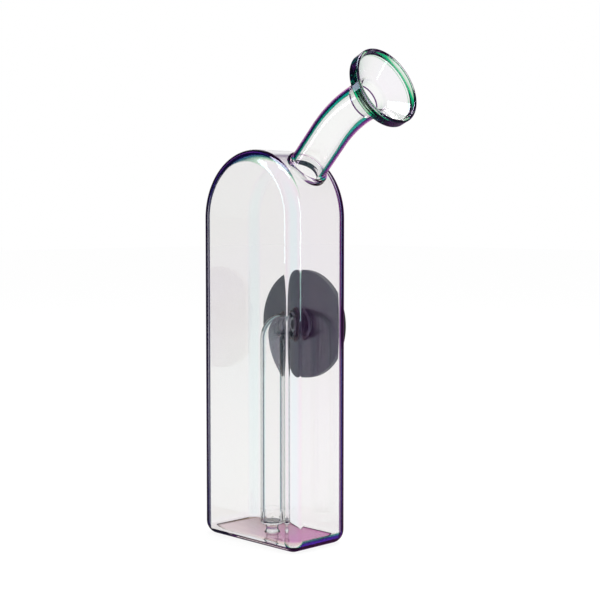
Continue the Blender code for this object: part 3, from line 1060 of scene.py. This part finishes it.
@dataclass
class DipTube:
    """Socket in the rear wall, elbowed dip tube, slitted tip and the post under it."""

    chamber: Chamber
    socket_bore: float = 4.9 * MM
    tube_bore: float = 3.95 * MM
    elbow: float = 5.6 * MM
    socket_step: float = 1.4 * MM
    weld: float = 1.0 * MM
    slits: int = 6
    slit_width: float = 0.9 * MM
    shoulder: float = 1.4 * MM
    tip_rounding: float = 1.2 * MM
    tip_floor: float = 1.4 * MM

    def __post_init__(self) -> None:
        """Read the pieces' places from the frame."""
        low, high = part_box("joint_socket")
        self.joint_z = (low.z + high.z) / 2
        self.socket_radius = (high.x - low.x) / 2
        self.socket_start, self.rear = low.y, high.y
        low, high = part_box("diffuser_tip")
        self.tube_radius = (high.x - low.x) / 2
        self.tip_bottom, self.tip_top = low.z, high.z

    def joint_place(self) -> Matrix:
        """Frame of the rear joint: origin at Y = 0 on its axis, Z towards the rear."""
        return Matrix.Translation((0, 0, self.joint_z)) @ ALONG_Y

    def painted_edge_weight(self, point: Vector) -> float:
        """Return the painted edge colours' weight: 1 in the bore and on the socket, and less on the outside
        of the drawn tube.
        """
        if point.y > self.tube_radius + SEAM:
            return 1.0
        return 1.0 if Vector((point.x, point.y)).length < (self.tube_bore + self.tube_radius) / 2 else 0.45

    def make_weld(self) -> None:
        """Turn the weld bead where the socket passes through the rear wall."""
        wall = self.rear - self.chamber.wall - SEAM
        inner = self.socket_radius + SEAM
        rings = [(inner, wall)] + arc_rings(inner, wall, self.weld, 0, -90, 8)
        weld = settle(lathe("socket_weld_glass", rings, 96), self.joint_place())
        smooth(weld, 40)
        # painted shade and reflection colours over the whole weld
        lay_painted_edge(weld, lambda point: 1.0)
        show(weld, SOCKET_GLASS, Body.GLASS, "clear_glass", "socket_bead")

    def bar(self, name: str, radius: float, start: float, end: float) -> bpy.types.Object:
        """Draw a solid bar along the elbowed dip tube.

        Args:
            name: the object's name.
            radius: the bar's radius.
            start: the Y at which it starts.
            end: the height at which it ends.

        Returns:
            The bar.
        """
        place = self.joint_place() @ Matrix.Translation((0, 0, start))
        elbow_z = self.joint_z - self.elbow
        bend = pi / 2, Vector((0, self.elbow, elbow_z)), (-1, 0, 0)
        run, drop = Vector((0, self.elbow - start, 0)), Vector((0, 0, end - elbow_z))
        return bent_bar(name, radius, 96, place, run, bend, drop)

    def make_tube(self) -> None:
        """Bend the dip tube, fuse the socket to it and hollow both."""
        start, radius, step = self.socket_start, self.socket_radius, self.socket_step
        tube = self.bar("dip_tube_glass", self.tube_radius, start + step / 2, self.tip_top + SEAM)
        shoulder = self.shoulder
        rings = [(0.0, self.rear), (radius, self.rear)]
        rings += arc_rings(radius - shoulder, start + shoulder, shoulder, 0, -90, 8)
        rings += [(0.0, start)]
        combine(tube, settle(lathe("socket", rings, 96), self.joint_place()), "UNION")
        combine(tube, self.bar("dip_bore", self.tube_bore, start + 2 * step, self.tip_bottom))
        beyond = self.rear + step
        rings = [(0.0, beyond), (self.socket_bore, beyond), (self.socket_bore, start + step + 0.6 * MM)]
        rings += [(self.tube_bore - 0.4 * MM, start + step), (0.0, start + step)]
        combine(tube, settle(lathe("socket_bore", rings, 96), self.joint_place()))
        heal(tube)
        smooth(tube, 40)
        lay_painted_edge(tube, self.painted_edge_weight)
        show(tube, TUBE_GLASS, Body.GLASS, "clear_glass", "dip_tube", "joint_socket")

    def make_tip(self) -> None:
        """Turn the closed tip, saw its slits and put the post under it."""
        rounding = self.tip_rounding
        rings = [(0.0, self.tip_top), (self.tube_radius, self.tip_top)]
        rings += arc_rings(self.tube_radius - rounding, self.tip_bottom + rounding, rounding, 0, -90, 8)
        rings += [(0.0, self.tip_bottom)]
        outer = lathe("diffuser_glass", rings, 96)
        seat = Matrix.Translation((0, 0, self.tip_bottom + self.tip_floor))
        combine(outer, rod_piece("tip_bore", self.tube_bore, self.tip_top, seat, 96))
        for index in range(self.slits // 2):
            low = (-2 * self.tube_radius, -self.slit_width / 2, self.tip_bottom + 1.8 * MM)
            high = (2 * self.tube_radius, self.slit_width / 2, self.tip_top - 1.2 * MM)
            turn = Matrix.Rotation(2 * pi * (index + 0.25) / self.slits, 4, "Z")
            combine(outer, settle(box_piece("slit", low, high), turn))
        smooth(outer, 40)
        lay_painted_edge(outer, self.painted_edge_weight)
        show(outer, TUBE_GLASS, Body.GLASS, "clear_glass", "diffuser_tip")

        radius = node_size("tip_foot").x / 2
        top, bottom = self.tip_bottom - SEAM, self.chamber.floor + SEAM
        waist = radius - 0.6 * MM
        rings = [(0.0, top), (waist, top), (waist - 0.2 * MM, (top + bottom) / 2)]
        rings += [(waist, bottom + 0.8 * MM), (radius, bottom + 0.2 * MM), (radius, bottom), (0.0, bottom)]
        post = lathe("tip_post_glass", rings, 64)
        smooth(post, 40)
        # painted shade and reflection colours over the whole post
        lay_painted_edge(post, lambda point: 1.0)
        show(post, TUBE_GLASS, Body.GLASS, "clear_glass", "tip_foot")

    def build(self) -> None:
        """Make every piece of the dip tube."""
        self.make_weld()
        self.make_tube()
        self.make_tip()


@dataclass
class Bowl:
    """The disc bowl: sleeve, stem, disc, cup and screen, turned about the joint's axis."""

    tube: DipTube
    boss_radius: float = 10.0 * MM
    disc_edge: float = 0.45 * MM
    disc_thickness: float = 2.6 * MM
    disc_hole: float = 3.45 * MM
    disc_fillet: float = 1.2 * MM
    cup_radius: float = 8.0 * MM
    sleeve_radius: float = 4.7 * MM
    draw_bore: float = 2.2 * MM  # through the stem and the cup's floor
    screen_hole: float = 0.45 * MM
    screen_circles: tuple[tuple[float, int], ...] = (
        (0.0, 1),
        (1.6 * MM, 6),
        (3.2 * MM, 12),
        (4.8 * MM, 18),
    )

    def turned(
        self, name: str, rings: list[Ring], finish: Finish, body: Body, slot: str, node: str, rounding: float
    ) -> None:
        """Turn one piece about the joint's axis, soften it and dress it.

        Args:
            name: the piece's name.
            rings: its profile, heights along Y.
            finish: its material.
            body: the body it rides on.
            slot: the record's material slot.
            node: the CAD node it replaces.
            rounding: the width of its softened edges.
        """
        piece = lathe(name, rings, 160)
        soften(piece, rounding)
        settle(piece, self.tube.joint_place())
        smooth(piece, 40)
        show(piece, finish, body, slot, node)

    def make_seal(self) -> None:
        """Turn the silicone sleeve and the stem inside it."""
        low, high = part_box("joint_sleeve")
        radius, flange = self.sleeve_radius, (high.x - low.x) / 2
        lip = self.tube.rear + 0.3 * MM
        rings = [(flange, high.y), (flange, lip), (radius, lip), (radius, low.y + 2.4 * MM)]
        rings += [(radius - 0.25 * MM, low.y + 2.1 * MM), (radius, low.y + 1.8 * MM)]
        rings += [(radius, low.y + 0.6 * MM)]
        rings += [(radius - 0.5 * MM, low.y), (3.5 * MM, low.y), (3.5 * MM, high.y)]
        self.turned(
            "joint_sleeve_silicone", rings, SILICONE, Body.SEAL, "black_silicone", "joint_sleeve", 0.12 * MM
        )
        low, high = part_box("bowl_stem")
        radius = (high.x - low.x) / 2
        rings = [(radius, high.y), (radius, low.y + 0.4 * MM), (radius - 0.4 * MM, low.y)]
        rings += [(self.draw_bore, low.y), (self.draw_bore, high.y)]
        self.turned("stem_steel", rings, CUP_STEEL, Body.BOWL, "stem_steel", "bowl_stem", 0.1 * MM)

    def make_disc(self) -> None:
        """Turn the disc: shallow dish towards the glass, boss with a recess behind."""
        low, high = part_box("bowl_disc")
        radius, front, end = (high.x - low.x) / 2, low.y, high.y
        back, edge, boss = front + self.disc_thickness, self.disc_edge, self.boss_radius
        hole, fillet = self.disc_hole, self.disc_fillet
        recess = self.cup_radius + 0.1 * MM
        cup_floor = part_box("bowl_cup")[0].y
        rings = [(boss, end), (boss, back + fillet)]
        rings += arc_rings(boss + fillet, back + fillet, fillet, 180, 270, 6)[1:]
        rings += arc_rings(radius - edge, back - edge, edge, 90, 0, 8)
        rings += arc_rings(radius - edge, front + edge, edge, 0, -90, 8)
        rings += [(radius - 3.4 * MM, front), (radius - 4.4 * MM, front + 0.35 * MM)]
        rings += [(radius - 9.6 * MM, front + 0.5 * MM), (radius - 10.4 * MM, front + 0.3 * MM)]
        rings += [(7.6 * MM, front + 0.3 * MM), (7.0 * MM, front), (hole, front)]
        rings += [(hole, cup_floor - 0.1 * MM), (recess, cup_floor - 0.1 * MM), (recess, end)]
        self.turned("disc_satin", rings, DISC_SATIN, Body.BOWL, "dark_disc", "bowl_disc", 0.15 * MM)

    def make_cup(self) -> None:
        """Turn the steel cup with its rolled lip."""
        low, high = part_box("bowl_cup")
        radius, inner = self.cup_radius, self.cup_radius - 0.8 * MM
        lip = (high.x - low.x) / 2
        under_lip = high.y - 0.7 * MM
        rings = [(lip, high.y), (lip, under_lip), (radius, under_lip), (radius, low.y + 0.6 * MM)]
        rings += [(radius - 0.6 * MM, low.y), (self.draw_bore, low.y)]
        rings += [(self.draw_bore, low.y + 0.8 * MM)]
        rings += [(inner - 0.5 * MM, low.y + 0.8 * MM), (inner, low.y + 1.3 * MM), (inner, high.y)]
        self.turned("cup_turned_steel", rings, CUP_STEEL, Body.BOWL, "cup_steel", "bowl_cup", 0.15 * MM)

    def make_screen(self) -> None:
        """Punch the screen: one blank, drilled by one joined set of pins."""
        low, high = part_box("bowl_screen")
        thick, radius = high.y - low.y, (high.x - low.x) / 2
        place = self.tube.joint_place() @ Matrix.Translation((0, 0, low.y))
        blank = rod_piece("screen_steel", radius, thick, place, 96)
        pins = []
        for ring, count in self.screen_circles:
            for index in range(count):
                angle = 2 * pi * index / count
                spot = place @ Matrix.Translation((ring * cos(angle), ring * sin(angle), -thick))
                pins.append(rod_piece("pin", self.screen_hole, 3 * thick, spot, 16))
        activate(pins[0])
        for pin in pins:
            pin.select_set(True)
        bpy.ops.object.join()
        combine(blank, pins[0])
        smooth(blank, 40)
        show(blank, CUP_STEEL, Body.BOWL, "cup_steel", "bowl_screen")

    def build(self) -> None:
        """Make every piece of the bowl."""
        self.make_seal()
        self.make_disc()
        self.make_cup()
        self.make_screen()


# Studio


@dataclass
class Studio:
    """White floor and surroundings, soft panels and the camera."""

    azimuth: float = radians(45.54)
    elevation: float = radians(3.67)
    distance: float = 0.5499
    lens: float = 79.62
    aim: tuple[float, float, float] = (0.0, 0.0, 0.0896)
    slide_right: float = 0.01083
    slide_up: float = 0.01002
    lit: tuple[float, float, float] = (0.0, 0.0, 0.1)

    def back(self) -> Vector:
        """Return the unit vector from the object to the camera."""
        level = cos(self.elevation)
        return Vector((sin(self.azimuth) * level, -cos(self.azimuth) * level, sin(self.elevation)))

    def make_camera(self) -> None:
        """Aim the camera and make it the scene's own."""
        back = self.back()
        right = Vector((cos(self.azimuth), sin(self.azimuth), 0))
        up = back.cross(right)
        target = Vector(self.aim) + right * self.slide_right + up * self.slide_up
        data = bpy.data.cameras.new("camera")
        data.lens = self.lens
        data.clip_start = 0.01
        data.clip_end = 20.0
        camera = bpy.data.objects.new("camera", data)
        bpy.context.scene.collection.objects.link(camera)
        camera.matrix_world = Matrix.Translation(target + back * self.distance) @ Matrix(
            (right, up, back)
        ).transposed().to_4x4()
        bpy.context.scene.camera = camera

    def make_floor(self) -> None:
        """Lay the white floor."""
        deselect_all()
        bpy.ops.mesh.primitive_plane_add(size=8.0, location=(0, 0, -0.05 * MM))
        floor = bpy.context.object
        floor.name = "floor"
        floor.data.materials.append(WhiteSweep("white_sweep").material())

    def panel(self, name: str, place: Sequence[float], size: tuple[float, float], watts: float) -> None:
        """Hang one soft rectangular light.

        Args:
            name: the light's name.
            place: where it hangs.
            size: its width and height.
            watts: its power.
        """
        data = bpy.data.lights.new(name, "AREA")
        data.shape = "RECTANGLE"
        data.size, data.size_y = size
        data.energy = watts
        light = bpy.data.objects.new(name, data)
        bpy.context.scene.collection.objects.link(light)
        light.location = place
        light.visible_transmission = False
        light.rotation_euler = (Vector(self.lit) - Vector(place)).to_track_quat("-Z", "Y").to_euler()

    def make_world(self) -> None:
        """Surround the piece with white, and hang grey cards that only reflections see."""
        world = bpy.data.worlds.new("studio_white")
        bpy.context.scene.world = world
        world.use_nodes = True
        background = world.node_tree.nodes["Background"]
        graph = Graph(world.node_tree)
        graph.feed(background.inputs["Color"], Surround().seen(graph, "Generated"))
        graph.feed(background.inputs["Strength"], 1.0)

    def build(self) -> None:
        """Set up everything that isn't the object."""
        self.make_camera()
        self.make_floor()
        self.make_world()
        self.panel("key_strip", (-0.55, -0.75, 0.45), (0.18, 0.8), 3.0)
        self.panel("top_panel", (0.1, 0.1, 0.9), (0.5, 0.5), 8.0)
        self.panel("right_strip", (0.9, 0.25, 0.35), (0.15, 0.7), 2.5)
        bpy.context.scene.view_settings.view_transform = "Standard"


def main() -> None:
    """Build the piece from the frame, then the studio round it."""
    logging.basicConfig(level=logging.INFO, format="%(name)s: %(message)s")
    chamber = Chamber()
    neck = Neck(chamber)
    tube = DipTube(chamber)
    for part in (chamber, neck, Mouthpiece(neck), tube, Bowl(tube), Studio()):
        LOG.info("building %s", type(part).__name__)
        part.build()


if __name__ == "__main__":
    main()
